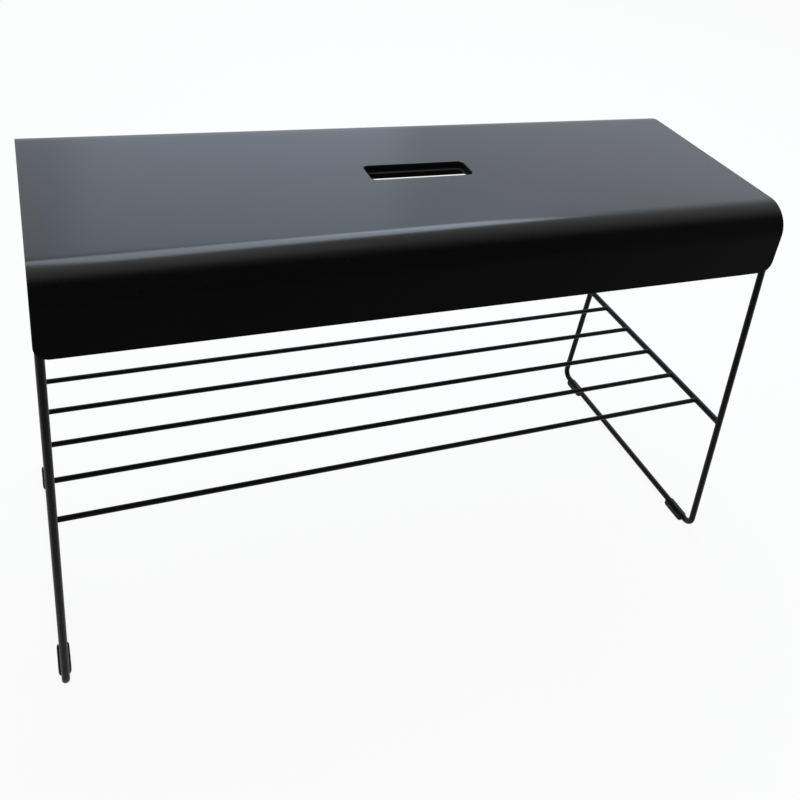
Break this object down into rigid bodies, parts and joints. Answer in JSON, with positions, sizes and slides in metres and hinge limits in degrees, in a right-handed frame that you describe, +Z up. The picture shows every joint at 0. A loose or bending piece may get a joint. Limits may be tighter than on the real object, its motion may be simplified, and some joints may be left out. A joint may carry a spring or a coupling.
{
  "type": "shoe storage bench",
  "caption": "Low bench with a black bent-sheet seat and hand slot, on splayed wire end frames joined by a wire shoe shelf, with clip-on glides.",
  "frame": {"origin": "centre of the bounding box's bottom face, on the floor under the middle of the seat", "axes": "+X along the length of the bench, +Z up, -Y to the front"},
  "size_m": [0.8026, 0.3492, 0.48],
  "materials": {
    "seat_coat": "satin black powder coat on sheet steel",
    "frame_coat": "satin black powder coat on steel rod",
    "wire_coat": "satin black powder coat on steel wire",
    "foot_plastic": "matte black moulded plastic",
    "screw_steel": "zinc-plated steel"
  },
  "bodies": {
    "root": {"seat_shell": "seat_coat", "left_end_frame": "frame_coat", "right_end_frame": "frame_coat", "left_shelf_rail": "frame_coat", "right_shelf_rail": "frame_coat", "shelf_wire_1": "wire_coat", "shelf_wire_2": "wire_coat", "shelf_wire_3": "wire_coat", "shelf_wire_4": "wire_coat", "shelf_wire_5": "wire_coat", "front_left_foot": "foot_plastic", "front_right_foot": "foot_plastic", "back_left_foot": "foot_plastic", "back_right_foot": "foot_plastic", "front_left_fixing_tab": "frame_coat", "front_right_fixing_tab": "frame_coat", "back_left_fixing_tab": "frame_coat", "back_right_fixing_tab": "frame_coat", "front_left_threaded_boss": "frame_coat", "front_right_threaded_boss": "frame_coat", "back_left_threaded_boss": "frame_coat", "back_right_threaded_boss": "frame_coat", "front_left_screw": "screw_steel", "front_right_screw": "screw_steel", "back_left_screw": "screw_steel", "back_right_screw": "screw_steel"}
  },
  "joints": []
}
